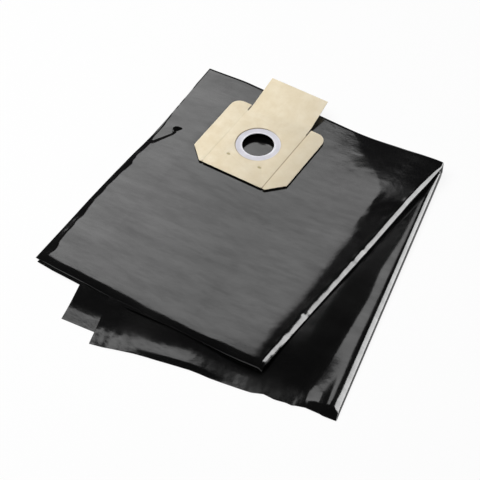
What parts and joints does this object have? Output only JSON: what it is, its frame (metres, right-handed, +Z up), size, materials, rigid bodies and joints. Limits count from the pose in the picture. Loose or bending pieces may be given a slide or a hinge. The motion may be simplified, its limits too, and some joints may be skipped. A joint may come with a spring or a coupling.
{
  "type": "vacuum bag",
  "caption": "Folded black film collection bag for a wet and dry vacuum, with a card collar, an elastic seal ring round the inlet and a bent-up tab",
  "frame": {"origin": "bottom centre of the folded bag's bounding box, on the surface it lies on", "axes": "+X along the back fold, from the loose edges to the soft roll; +Y from the front edges to the back fold; +Z up out of the inlet"},
  "size_m": [0.5838, 0.6408, 0.0373],
  "materials": {
    "black_film": "thin glossy black polyethylene film",
    "kraft_card": "uncoated beige card",
    "pale_elastomer": "satin pale grey elastomer"
  },
  "bodies": {
    "root": {"film_bag": "black_film", "base_card": "kraft_card", "seal_ring": "pale_elastomer", "collar_card": "kraft_card"}
  },
  "joints": []
}
